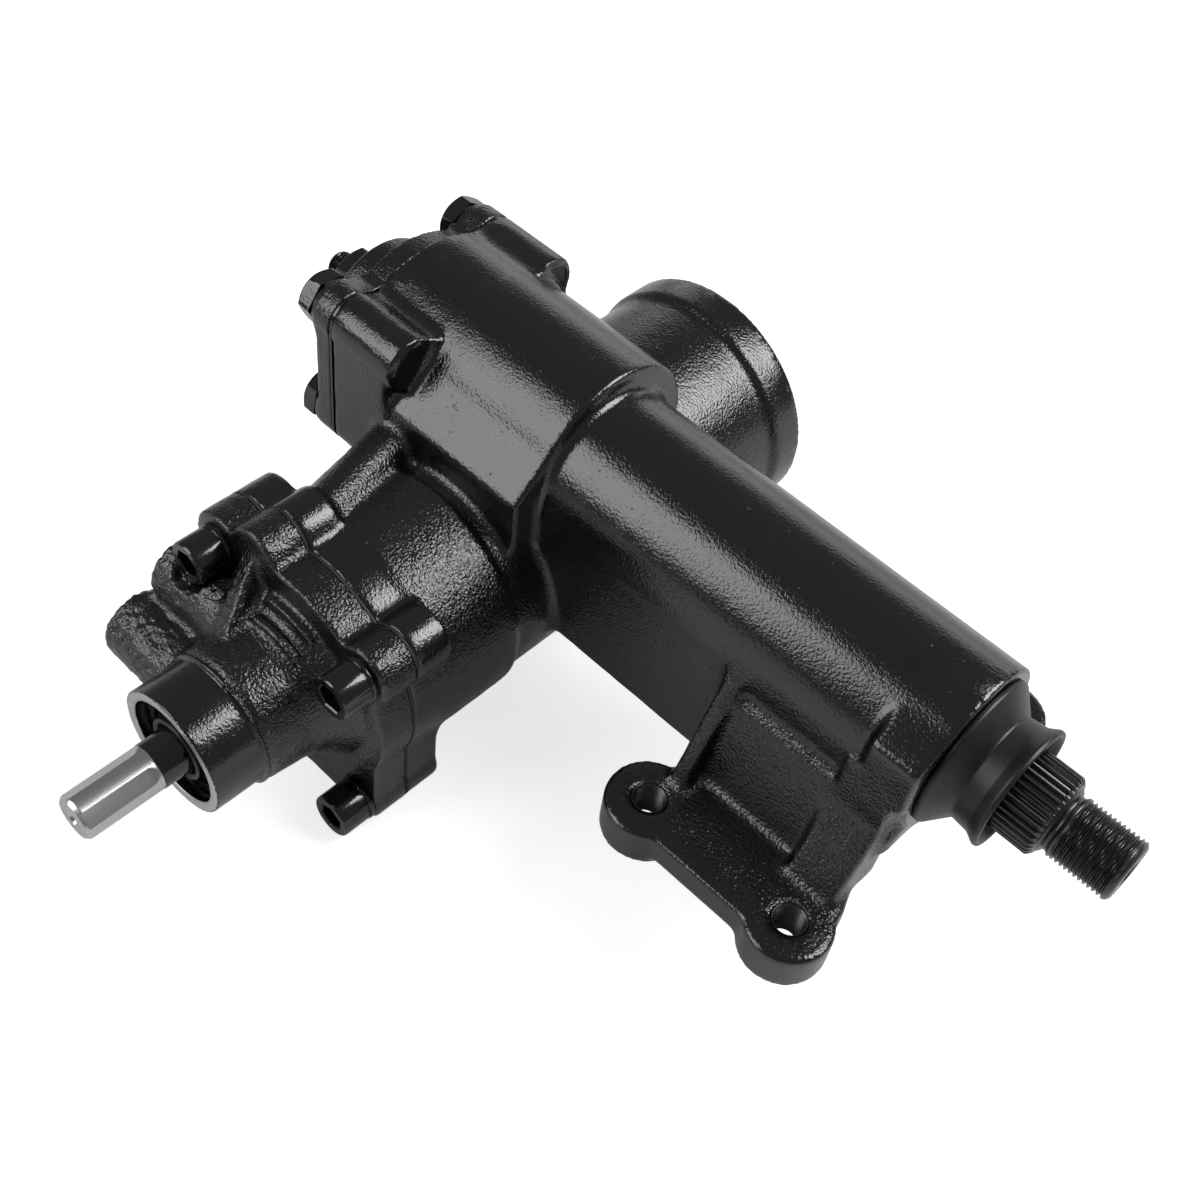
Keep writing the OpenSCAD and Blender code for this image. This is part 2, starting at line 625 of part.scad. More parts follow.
module rack_end_plug() color(dark_steel) seated() difference() {
    bar_y(nut_bore_r + 1, piston_y[1] - 8.1, piston_y[1]);
    translate([0, piston_y[1], worm_z]) cube([9.5, 9, 9.5], center = true);
}

// Ball return guide: a U-shaped tube from one end of the ball circuit to the other
module ball_guide() color(steel) seated() difference() {
    union() {
        for (s = [-1, 1]) translate([0, s * guide_span / 2, worm_z - guide_flat - guide_r])
            cylinder(r = guide_r - 0.2, h = guide_flat + guide_r - circuit_r + 1);
        translate([0, 0, worm_z - guide_flat - guide_r]) rotate([90, 0, 0])
            cylinder(r = guide_r, h = guide_span + 2.4 * guide_r, center = true);
    }
    for (s = [-1, 1]) translate([0, s * guide_span / 2, worm_z - guide_flat - guide_r])
        cylinder(r = ball_r + 0.2, h = guide_flat);
}

// Strap that holds the ball guide down
module guide_clamp() color(steel) seated() difference() {
    translate([-clamp_x - 5, -8, worm_z - guide_flat - 2 * guide_r - clamp_t])
        cube([2 * clamp_x + 10, 16, 2 * guide_r + clamp_t]);
    translate([-guide_r - 0.2, -9, worm_z - guide_flat - 2 * guide_r])
        cube([2 * guide_r + 0.4, 18, 2 * guide_r + 1]);
    for (s = [-1, 1]) translate([s * clamp_x, 0, worm_z - 45]) cylinder(r = 2.5, h = 30);
}

module clamp_screws() color(dark_steel) seated() for (s = [-1, 1])
    translate([s * clamp_x, 0, worm_z - guide_flat - 2 * guide_r - clamp_t - 1.5]) {
        cylinder(r = 4, h = 1.5);
        cylinder(r = 2.5, h = 2 * guide_r + clamp_t + 8);
    }

// Balls in the worm's groove, a ball every ball_step degrees
ball_step = 36;
module bearing_balls() color(steel) seated()
    for (a = [-ball_turns * 180 + ball_step:ball_step:ball_turns * 180 - ball_step])
    translate([ball_ring_r * sin(a), a / 360 * lead, worm_z + ball_ring_r * cos(a)]) sphere(ball_r, $fn = 24);

// Section of the worm: a round core with one wide notch that winds into the ball groove
groove_r = ball_r + 0.5;
worm_steps = 16;
function worm_section_r(a) = let (s = a / 360 * lead)
    abs(s) < groove_r ? min(worm_r, ball_ring_r - sqrt(groove_r * groove_r - s * s)) : worm_r;

module worm_section() polygon([for (i = [0:worm_steps - 1]) let (a = i * 360 / worm_steps - 180)
    worm_section_r(a) * [cos(a), sin(a)]]);

module worm_shaft() color(steel) seated() difference() {
    union() {
        translate([0, worm_thread_y[0], worm_z]) rotate([-90, 0, 0])
            rotate([0, 0, -90 + 360 * worm_thread_y[0] / lead])
            linear_extrude(thread_h, twist = -360 * thread_h / lead,
                slices = worm_steps * round(thread_h / lead), $fn = worm_steps) worm_section();
        turned_y([[0, worm_head_y - worm_head_t], [race_r - 4, worm_head_y - worm_head_t],
            [race_r - 4, worm_head_y],
            [worm_r, worm_head_y], [worm_r, worm_thread_y[0] - 2],
                [worm_r - 3.6, worm_thread_y[0] + 1], [0, worm_thread_y[0] + 1]]);
        bar_y(spool_r - 2, sleeve_y[1] + 0.3, worm_head_y - worm_head_t + 1);
    }
    bar_y(torsion_r + room, sleeve_y[1] - 1, worm_head_y + 16);
}

module valve_sleeve() color(steel) seated() difference() {
    bar_y(sleeve_r, sleeve_y[0], sleeve_y[1]);
    bar_y(spool_r + fit, sleeve_y[0] - 1, sleeve_y[1] + 1);
    for (y = sleeve_groove_ys) ring_y(sleeve_r - 2, sleeve_r + 1, y, y + 2.5);
    for (i = [0:5], y = sleeve_port_ys) rotate_about_worm(i * 60) translate([0, y, spool_r - 1])
        cylinder(r = 1.8, h = 20);
}

sleeve_groove_ys = [for (i = [0:3]) sleeve_y[0] + 4 + i * 10.3];
sleeve_port_ys = [for (i = [0:2]) sleeve_groove_ys[i] + 6.4];
module rotate_about_worm(a) translate([0, 0, worm_z]) rotate([0, a, 0]) children();

module sleeve_rings() color(dark_steel) seated() for (y = sleeve_groove_ys)
    ring_y(sleeve_r - 2, sleeve_r + 0.5, y, y + 2.5);

// Pin that turns the valve sleeve with the worm head
module sleeve_pin() color(steel) seated()
    bar_y(1.2, sleeve_y[1], worm_head_y - worm_head_t, 0, 13.9);

module input_shaft() color(steel) seated() difference() {
    union() {
        turned_y([[0, -input_tip_y], [coupling_r - 1.5, -input_tip_y], [coupling_r, -input_tip_y + 1.5],
            [coupling_r, -input_tip_y + 31.6], [register_r, -input_tip_y + 32],
            [register_r, -input_tip_y + 40], [input_r, -input_tip_y + 40.4],
                [input_r, sleeve_y[0] - 2], [spool_r, sleeve_y[0] - 0.5], [spool_r, sleeve_y[1] - 1],
                [0, sleeve_y[1] - 1]]);
    }
    // Four milled flats at the driven end
    for (a = [-38:90:232]) rotate_about_worm(a) translate([0, -input_tip_y + 14, input_flat + 10])
        cube([40, 34, 20], center = true);
    bar_y(torsion_r + 0.3, -input_tip_y + 24, sleeve_y[1]);
    turned_y([[0, -input_tip_y - 0.5], [3, -input_tip_y - 0.5], [1.6, -input_tip_y + 2],
        [1.6, -input_tip_y + 6], [0, -input_tip_y + 7]]);
    translate([0, pin_y, worm_z]) cylinder(r = 1.5, h = 60, center = true);
}

pin_y = -input_tip_y + 52;
// The driven end and the round register behind its flats are a little slimmer than the journal
coupling_r = input_r - 0.45;
register_r = input_r - 0.225;
module torsion_bar() color(steel) seated() difference() {
    bar_y(torsion_r, -input_tip_y + 24.3, worm_head_y + 14);
    translate([0, pin_y, worm_z]) cylinder(r = 1.5, h = 60, center = true);
}

// Pin through the input shaft and the torsion bar
module torsion_pin() color(dark_steel) seated()
    translate([0, pin_y, worm_z]) cylinder(r = 1.5, h = 2 * input_r - 0.6, center = true);

gear_housing();
side_cover();
cover_gasket();
cover_bolts();
lash_adjuster();
adjuster_nut();
cover_bushing();
inner_bushing();
outer_bushing();
sector_seal();
dust_boot();
sector_shaft();
valve_housing();
valve_gasket();
valve_screws();
input_seal();
seal_ring();
input_bearing();
lower_thrust_bearing();
upper_thrust_bearing();
end_plug();
end_plug_oring();
end_plug_ring();
rack_piston();
piston_ring();
rack_end_plug();
ball_guide();
guide_clamp();
clamp_screws();
bearing_balls();
worm_shaft();
valve_sleeve();
sleeve_rings();
sleeve_pin();
input_shaft();
torsion_bar();
torsion_pin();
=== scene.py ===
"""Looks of a power steering gearbox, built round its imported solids.

Lengths are millimetres in the gear's own axes: X along the sector shaft, Y along the worm,
Z up, with the origin where the sector's axis passes over the worm. Pieces are moved to the
part's frame, in metres, as they are made.
"""
import math

import bmesh
import bpy
import numpy as np
import openvdb
from mathutils import Matrix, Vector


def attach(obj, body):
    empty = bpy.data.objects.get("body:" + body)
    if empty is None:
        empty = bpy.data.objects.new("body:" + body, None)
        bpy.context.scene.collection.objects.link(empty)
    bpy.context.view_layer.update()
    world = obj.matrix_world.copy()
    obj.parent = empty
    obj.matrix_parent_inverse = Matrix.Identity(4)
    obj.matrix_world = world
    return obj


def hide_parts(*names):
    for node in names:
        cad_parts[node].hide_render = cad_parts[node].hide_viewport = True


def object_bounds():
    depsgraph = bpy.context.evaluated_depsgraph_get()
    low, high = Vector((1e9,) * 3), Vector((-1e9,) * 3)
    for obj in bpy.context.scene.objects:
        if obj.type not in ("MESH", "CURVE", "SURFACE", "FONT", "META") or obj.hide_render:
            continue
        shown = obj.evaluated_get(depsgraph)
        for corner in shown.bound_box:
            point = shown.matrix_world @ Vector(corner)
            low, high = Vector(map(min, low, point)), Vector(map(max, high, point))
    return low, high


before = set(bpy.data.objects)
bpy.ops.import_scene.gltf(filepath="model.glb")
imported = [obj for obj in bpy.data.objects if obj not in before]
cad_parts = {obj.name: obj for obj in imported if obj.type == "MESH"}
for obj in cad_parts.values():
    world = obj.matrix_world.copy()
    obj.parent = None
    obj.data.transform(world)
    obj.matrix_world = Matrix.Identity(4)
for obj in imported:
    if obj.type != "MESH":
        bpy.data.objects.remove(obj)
cad_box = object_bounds()

MM = 0.001
TURN = 2 * math.pi
GEAR_TO_PART = np.array([-162.0, 2.0, 67.0])

# The worm's axis, the joint faces of the castings, and where the nose and the tube end
WORM_Z = -52.0
WORM = (0.0, WORM_Z)
COVER_JOINT = -66.0
VALVE_JOINT = -106.0
GASKET_T = 1.0
NOSE_END = -178.0
TUBE_END = 206.0

# Camera, fitted to the photograph: azimuth, elevation and roll in degrees, distance in mm
VIEW_AZ, VIEW_EL, VIEW_ROLL = 36.741, 50.455, 9.303
VIEW_TARGET = np.array([-83.745, -45.307, 67.0])
VIEW_DISTANCE = 581.511
VIEW_LENS = 49.56


def facing(azimuth, elevation):
    """Right, up and back directions of something that looks at the gear from an azimuth and elevation."""
    az, el = np.radians([azimuth, elevation])
    back = np.array([math.sin(az) * math.cos(el), -math.cos(az) * math.cos(el), math.sin(el)])
    right = np.array([math.cos(az), math.sin(az), 0.0])
    return right, np.cross(back, right), back


def put(thing, directions, place):
    """Turns an object to three directions, puts it at a place in metres, and adds it to the scene."""
    thing.matrix_world = Matrix([[*row, at] for row, at in zip(np.column_stack(directions), place)]
                                + [[0, 0, 0, 1]])
    bpy.context.collection.objects.link(thing)


def make_camera():
    """Camera on a sphere round its target, turned about its own axis by the roll."""
    right, up, back = facing(VIEW_AZ, VIEW_EL)
    roll = math.radians(VIEW_ROLL)
    across = right * math.cos(roll) + up * math.sin(roll)
    top = up * math.cos(roll) - right * math.sin(roll)
    data = bpy.data.cameras.new("photo_camera")
    data.lens = VIEW_LENS
    data.sensor_width = 36.0
    data.clip_start = 0.01
    camera = bpy.data.objects.new("photo_camera", data)
    put(camera, (across, top, back), (VIEW_TARGET + VIEW_DISTANCE * back) * MM)
    bpy.context.scene.camera = camera


make_camera()


# Materials

def linear(code, alpha=1.0):
    """sRGB hex to linear RGBA."""
    srgb = np.array([int(code[i:i + 2], 16) for i in (1, 3, 5)]) / 255
    rgb = np.where(srgb <= 0.04045, srgb / 12.92, ((srgb + 0.055) / 1.055) ** 2.4)
    return (*rgb, alpha)


def add(tree, kind, props=None, sockets=None, links=None):
    """Adds one node, sets its properties and sockets, and links its inputs to (node, output)."""
    node = tree.nodes.new(kind)
    for key, value in (props or {}).items():
        setattr(node, key, value)
    for key, value in (sockets or {}).items():
        node.inputs[key].default_value = value
    for key, (source, output) in (links or {}).items():
        tree.links.new(source.outputs[output], node.inputs[key])
    return node


def per_mm(size):
    """Noise scale whose features are about this many millimetres across."""
    return 1 / (size * MM)


CLOUD_SIZE = 14.0
PIT_SIZE = 2.4


def finish_of(name, shades, rough, grain, relief, metallic=0.0, ior=1.5, stretch=(1, 1, 1), peel=None,
              pits=0.0):
    """One finish: two shades and a roughness range mixed by a cloudy noise, and a grain of the given size
    raised by relief millimetres. With peel, (size, relief) of a fine orange peel, the grain follows the
    piece's own grain attribute and the peel is the same all over; pits are small holes of that depth."""
    material = bpy.data.materials.new(name)
    material.use_nodes = True
    tree = material.node_tree
    shader = tree.nodes["Principled BSDF"]
    shader.inputs["Metallic"].default_value = metallic
    if not metallic:
        shader.inputs["IOR"].default_value = ior
    place = add(tree, "ShaderNodeTexCoord")
    drawn = add(tree, "ShaderNodeMapping", sockets={"Scale": stretch}, links={"Vector": (place, "Object")})
    clouds = add(tree, "ShaderNodeTexNoise", sockets={"Scale": per_mm(CLOUD_SIZE), "Detail": 4.0},
                 links={"Vector": (drawn, "Vector")})
    tint = add(tree, "ShaderNodeMix", {"data_type": "RGBA"}, links={0: (clouds, "Fac")})
    tint.inputs[6].default_value = linear(shades[0])
    tint.inputs[7].default_value = linear(shades[1])
    gloss = add(tree, "ShaderNodeMapRange", sockets={"From Min": 0.3, "From Max": 0.7, "To Min": rough[0],
                "To Max": rough[1]}, links={"Value": (clouds, "Fac")})
    fine = add(tree, "ShaderNodeTexNoise", sockets={"Scale": per_mm(grain), "Detail": 2.0, "Roughness": 0.45},
               links={"Vector": (drawn, "Vector")})
    bump = add(tree, "ShaderNodeBump", sockets={"Strength": 1.0, "Distance": relief * MM},
               links={"Height": (fine, "Fac")})
    if peel:
        amount = add(tree, "ShaderNodeAttribute", {"attribute_name": "grain"})
        tree.links.new(amount.outputs["Fac"], bump.inputs["Strength"])
        orange = add(tree, "ShaderNodeTexNoise", sockets={"Scale": per_mm(peel[0]), "Detail": 1.0},
                     links={"Vector": (place, "Object")})
        bump = add(tree, "ShaderNodeBump", sockets={"Strength": 1.0, "Distance": peel[1] * MM},
                   links={"Height": (orange, "Fac"), "Normal": (bump, "Normal")})
    if pits:
        specks = add(tree, "ShaderNodeTexNoise", sockets={"Scale": per_mm(PIT_SIZE), "Detail": 1.0},
                     links={"Vector": (place, "Object")})
        holes = add(tree, "ShaderNodeMapRange", sockets={"From Min": 0.21, "From Max": 0.26, "To Min": 0.0,
                    "To Max": 1.0}, links={"Value": (specks, "Fac")})
        bump = add(tree, "ShaderNodeBump", sockets={"Strength": 1.0, "Distance": pits * MM},
                   links={"Height": (holes, "Result"), "Normal": (bump, "Normal")})
    tree.links.new(tint.outputs[2], shader.inputs["Base Color"])
    tree.links.new(gloss.outputs["Result"], shader.inputs["Roughness"])
    tree.links.new(bump.outputs["Normal"], shader.inputs["Normal"])
    return material


PAINT_IOR = 1.65

# Black enamel sprayed on a sand casting: deep black, glossy, with the sand's grain under the paint
ENAMEL = finish_of("black_enamel_on_cast_iron", ("#0a0a0b", "#121213"), (0.1, 0.15), 1.1, 0.5,
                   ior=PAINT_IOR, peel=(0.6, 0.06), pits=0.08)
# Enamel on turned steel: the same paint with only a faint orange peel
SMOOTH_ENAMEL = finish_of("black_enamel_on_steel", ("#0a0a0b", "#111112"), (0.1, 0.15), 1.0, 0.03,
                          ior=PAINT_IOR)
# Phosphated steel under a thin coat of paint: satin black with a soft sheen
DARK_STEEL = finish_of("painted_phosphated_steel", ("#0d0d0e", "#1a1a1b"), (0.22, 0.32), 0.6, 0.012,
                       ior=PAINT_IOR)
# Ground steel: bright, drawn into fine lines along the shaft
BRIGHT_STEEL = finish_of("ground_steel", ("#b4b4b3", "#d8d8d6"), (0.22, 0.36), 0.5, 0.03, metallic=1.0,
                         stretch=(1, 0.12, 1))
# Machined face wiped clean of paint
BARE_FACE = finish_of("machined_cast_face", ("#bcbcbd", "#d0d0d0"), (0.4, 0.5), 0.4, 0.012, metallic=1.0)
# Thread tapped through the paint: dark bare iron that glints on its crests
CUT_THREAD = finish_of("tapped_cast_iron", ("#3c3c3d", "#565657"), (0.3, 0.42), 0.4, 0.01, metallic=1.0)
# Nitrile rubber, moulded: matt black with a grey bloom
RUBBER = finish_of("moulded_nitrile_rubber", ("#0b0b0c", "#131314"), (0.34, 0.46), 0.5, 0.008, ior=1.5)
# Hardened alloy steel of the moving parts inside: grey, ground
GREY_STEEL = finish_of("hardened_steel", ("#77787a", "#93949a"), (0.26, 0.4), 0.5, 0.008, metallic=1.0)
# Sintered bronze of the bushings
BRONZE = finish_of("sintered_bronze", ("#8a6a3c", "#a98450"), (0.35, 0.5), 0.4, 0.02, metallic=1.0)
# Composite gasket sheet: dark, matt and fibrous
GASKET = finish_of("fibre_gasket_sheet", ("#151515", "#26262a"), (0.6, 0.75), 0.4, 0.02)
# Filled PTFE of the piston and sleeve rings
RING_PLASTIC = finish_of("filled_ptfe", ("#3a342c", "#4c453a"), (0.45, 0.6), 0.6, 0.006, ior=1.38)


# Surfaces

def eased(corners, radius, closed=False, steps=4):
    """A polyline whose corners are replaced by parabolic arcs that start and end radius before and after
    each corner, or at 0.45 of a shorter side."""
    corners = np.asarray(corners, float)
    before = np.roll(corners, 1, axis=0) - corners
    after = np.roll(corners, -1, axis=0) - corners
    reach = [np.maximum(np.linalg.norm(side[:, :2], axis=1, keepdims=True), 1e-9) for side in (before, after)]
    start = corners + before * np.minimum(radius / reach[0], 0.45)
    end = corners + after * np.minimum(radius / reach[1], 0.45)
    if not closed:
        start[[0, -1]] = end[[0, -1]] = corners[[0, -1]]
    t = np.linspace(0, 1, steps + 1)[None, :, None]
    arcs = (1 - t) ** 2 * start[:, None] + 2 * t * (1 - t) * corners[:, None] + t ** 2 * end[:, None]
    points = arcs.reshape(-1, corners.shape[1])
    return np.vstack([points, points[:1]]) if closed else points


def turned(profile, steps=96, shape=None):
    """Surface of revolution: profile rows are (radius, place along the axis), each swept round a full turn.
    shape(radius, along, angle) may change the radius round the turn."""
    angle = np.linspace(0, TURN, steps, endpoint=False)[None, :]
    radius, along = (np.asarray(profile, float)[:, i][:, None] + 0 * angle for i in (0, 1))
    if shape is not None:
        radius = shape(radius, along, angle)
    return np.stack([along, radius * np.cos(angle), radius * np.sin(angle)], axis=-1)


def sixfold(profile, steps=96, turn=0.0):
    """Hexagonal surface: rows are (half width across flats, place, largest radius), and the radius round the
    turn is the half width over the cosine of the angle from the nearest flat's middle, up to the largest."""
    profile = np.asarray(profile, float)
    limit = profile[:, 2][:, None]

    def six_sided(radius, along, angle):
        fold = np.mod(angle + turn + math.pi / 6, math.pi / 3) - math.pi / 6
        return np.minimum(radius / np.cos(fold), limit)
    return turned(profile, steps, six_sided)


def about_x(surface, y=0.0, z=0.0):
    """Puts a turned surface on an axis along X."""
    return surface + [0, y, z]


def about_y(surface, x=0.0, z=WORM_Z):
    """Puts a turned surface on an axis along Y."""
    return surface[..., [2, 0, 1]] + [x, 0, z]


def about_z(surface, x=0.0, y=0.0):
    """Puts a turned surface on an axis along Z."""
    return surface[..., [1, 2, 0]] + [x, y, 0]


SHARP_ANGLE = 38


def new_object(name, points, faces, material, body, nodes):
    """A mesh from points and index rows of one or more widths, riding on a body."""
    mesh = bpy.data.meshes.new(name)
    faces = [f for f in faces if len(f)]
    mesh.vertices.add(len(points))
    mesh.vertices.foreach_set("co", ((points + GEAR_TO_PART) * MM).astype(np.float32).ravel())
    widths = np.concatenate([np.full(len(f), f.shape[1]) for f in faces])
    starts = np.concatenate([[0], np.cumsum(widths)[:-1]])
    mesh.loops.add(int(widths.sum()))
    mesh.loops.foreach_set("vertex_index", np.concatenate([f.ravel() for f in faces]).astype(np.int32))
    mesh.polygons.add(len(widths))
    mesh.polygons.foreach_set("loop_start", starts.astype(np.int32))
    mesh.update(calc_edges=True)
    mesh.shade_smooth()
    mesh.materials.append(material)
    thing = bpy.data.objects.new(name, mesh)
    bpy.context.collection.objects.link(thing)
    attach(thing, body)
    if nodes:
        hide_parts(*nodes)
    return thing


def piece(name, surfaces, material, body, nodes, sharp=SHARP_ANGLE):
    """Joins surfaces, each a grid of rows closed round its columns, merges their poles and seams, and turns
    the faces outwards."""
    points, quads, start = [], [], 0
    for surface in surfaces:
        rows, columns = surface.shape[:2]
        index = start + np.arange(rows * columns).reshape(rows, columns)
        ahead = np.roll(index, -1, axis=1)
        quads.append(np.stack([index[:-1], ahead[:-1], ahead[1:], index[1:]], axis=-1).reshape(-1, 4))
        points.append(surface.reshape(-1, 3))
        start += rows * columns
    thing = new_object(name, np.vstack(points), quads, material, body, nodes)
    work = bmesh.new()
    work.from_mesh(thing.data)
    bmesh.ops.remove_doubles(work, verts=work.verts, dist=2e-7)
    bmesh.ops.dissolve_degenerate(work, edges=work.edges, dist=1e-7)
    bmesh.ops.recalc_face_normals(work, faces=work.faces)
    work.to_mesh(thing.data)
    work.free()
    thing.data.set_sharp_from_angle(angle=math.radians(sharp))
    return thing


def cad_shell(node):
    """A node's triangles in gear millimetres, with the corners they share merged."""
    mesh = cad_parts[node].data
    points = np.empty(len(mesh.vertices) * 3, np.float32)
    mesh.vertices.foreach_get("co", points)
    mesh.calc_loop_triangles()
    triangles = np.empty(len(mesh.loop_triangles) * 3, np.int32)
    mesh.loop_triangles.foreach_get("vertices", triangles)
    points = points.reshape(-1, 3) / MM - GEAR_TO_PART
    _, first, shared = np.unique(np.round(points, 3), axis=0, return_index=True, return_inverse=True)
    return points[first], shared.ravel()[triangles].reshape(-1, 3)


def cad_copy(name, node, material, body, cut_off, place):
    """A copy of a node without what lies past a place in the direction cut_off, which new surfaces show."""
    points, triangles = cad_shell(node)
    thing = new_object(name, points, [triangles], material, body, (node,))
    work = bmesh.new()
    work.from_mesh(thing.data)
    cut = np.abs(cut_off) * (place + GEAR_TO_PART) * MM
    bmesh.ops.remove_doubles(work, verts=work.verts, dist=2e-7)
    bmesh.ops.bisect_plane(work, geom=work.verts[:] + work.edges[:] + work.faces[:], dist=1e-7,
                           plane_co=cut.tolist(), plane_no=cut_off, clear_outer=True)
    rim = [edge for edge in work.edges if edge.is_boundary]
    bmesh.ops.triangle_fill(work, use_beauty=True, edges=rim)
    bmesh.ops.recalc_face_normals(work, faces=work.faces)
    work.to_mesh(thing.data)
    work.free()
    thing.data.set_sharp_from_angle(angle=math.radians(SHARP_ANGLE))


# Castings

BAND = 4.0


def level_set(points, faces, voxel, half_width):
    """Distance field of a closed surface, known for half_width voxels to each side of it."""
    quads = next((f for f in faces if f.shape[1] == 4), np.empty((0, 4)))
    triangles = next((f for f in faces if f.shape[1] == 3), np.empty((0, 3)))
    return openvdb.FloatGrid.createLevelSetFromPolygons(
        points.astype(np.float32), triangles=triangles.astype(np.uint32), quads=quads.astype(np.uint32),
        transform=openvdb.createLinearTransform(voxelSize=voxel), halfWidth=half_width)


def offset_shell(points, faces, offset, voxel):
    """The surface at a distance outside (or, negative, inside) a closed one, by way of its distance field."""
    field = level_set(points, faces, voxel, abs(offset) / voxel + 3)
    points, triangles, quads = field.convertToPolygons(isovalue=offset, adaptivity=0.0)
    return points, [triangles, quads]


def dense_field(points, faces, voxel):
    """Distance field of a closed surface as an array, with the grid place of its first voxel."""
    low = np.floor(points.min(axis=0) / voxel).astype(int) - 5
    shape = np.ceil(points.max(axis=0) / voxel).astype(int) + 6 - low
    dense = np.empty(tuple(shape), np.float32)
    level_set(points, faces, voxel, BAND).copyToArray(dense, ijk=tuple(low.tolist()))
    return dense, low


def read_field(dense, at):
    """Trilinear reading of a dense field at fractional voxel places."""
    low = np.clip(np.floor(at).astype(int), 0, np.array(dense.shape) - 2)
    part = at - low
    total = np.zeros(len(at))
    for corner in np.ndindex(2, 2, 2):
        weight = np.prod(np.where(corner, part, 1 - part), axis=1)
        total += weight * dense[tuple((low + corner).T)]
    return total


def slope(dense, at):
    """Unit slope of a dense field, from its readings a little before and after each place."""
    step = np.eye(3) * 0.6
    rise = np.stack([read_field(dense, at + s) - read_field(dense, at - s) for s in step], axis=1)
    return rise / np.maximum(np.linalg.norm(rise, axis=1, keepdims=True), 1e-9)


AXES = {"x": (0, 1, 2), "y": (1, 0, 2), "z": (2, 0, 1)}
WAVES = 36


def ripple(points, sizes, amount, seed):
    """Uneven cast skin: a sum of sine waves of random direction and phase, with wavelengths between two
    sizes, divided by the root of their number."""
    draw = np.random.default_rng(seed)
    waves = draw.normal(size=(3, WAVES))
    waves *= TURN / draw.uniform(*sizes, WAVES) / np.linalg.norm(waves, axis=0)
    return amount * np.sin(points @ waves + draw.uniform(0, TURN, WAVES)).sum(axis=1) / math.sqrt(WAVES)


def round_bar(grid, axis, centre, radius, start, end):
    """Distance field of a round bar: the greater of the distance past its side and past its ends."""
    a, b, c = AXES[axis]
    across = np.sqrt((grid[b] - centre[0]) ** 2 + (grid[c] - centre[1]) ** 2) - radius
    return np.maximum(across, np.abs(grid[a] - (start + end) / 2) - (end - start) / 2)


def join_webs(dense, grid, webs):
    """Adds pairs of bars, each (bar, bar, width), joined by a hollow: the lesser of the two distances, less
    the square of how alike they are within the width."""
    for one, other, width in webs:
        one, other = round_bar(grid, *one), round_bar(grid, *other)
        hollow = np.clip(1 - np.abs(one - other) / width, 0, 1)
        np.minimum(dense, np.minimum(one, other) - hollow ** 2 * width / 4, out=dense)


MILL_DEPTH = 2.5


def mill(dense, grid, low, voxel, faces):
    """Cuts joint faces, each (axis, place, side of the metal), square: the section that lies a little inside
    a face is drawn out past it, and the face cuts it off."""
    for axis, place, side in faces:
        inside = int(round((place + side * MILL_DEPTH) / voxel)) - low[axis]
        along = np.moveaxis(dense, axis, 0)
        if side > 0:
            along[:inside] = along[inside]
        else:
            along[inside:] = along[inside]
        np.maximum(dense, side * (place - grid[axis]), out=dense)


MELT = 1.6


def melt_on(dense, grid, raised):
    """Adds bars, each (round bar, least X, greatest X), that melt into the skin by a smooth minimum."""
    for *bar, low_x, high_x in raised:
        beside = np.abs(grid[0] - (low_x + high_x) / 2) - (high_x - low_x) / 2
        ridge = np.maximum(round_bar(grid, *bar), beside)
        share = np.clip(0.5 + 0.5 * (ridge - dense) / MELT, 0, 1)
        dense[:] = ridge + (dense - ridge) * share - MELT * share * (1 - share)


MOST_TRIANGLES = 190000


def thin_out(thing, triangles):
    """Collapses edges where the skin is nearly flat, until a piece has no more than the most triangles."""
    if triangles <= MOST_TRIANGLES:
        return
    thing.modifiers.new("thin_out", "DECIMATE").ratio = MOST_TRIANGLES / triangles
    view = bpy.context.evaluated_depsgraph_get()
    thinned = bpy.data.meshes.new_from_object(thing.evaluated_get(view), depsgraph=view)
    thing.modifiers.clear()
    first_mesh, thing.data = thing.data, thinned
    bpy.data.meshes.remove(first_mesh)
    thinned.name = thing.name


LUMP_SIZES, LUMPS = (5.0, 14.0), 0.06
COARSE_SIZES, COARSE_LUMPS = (2.6, 5.5), 0.3


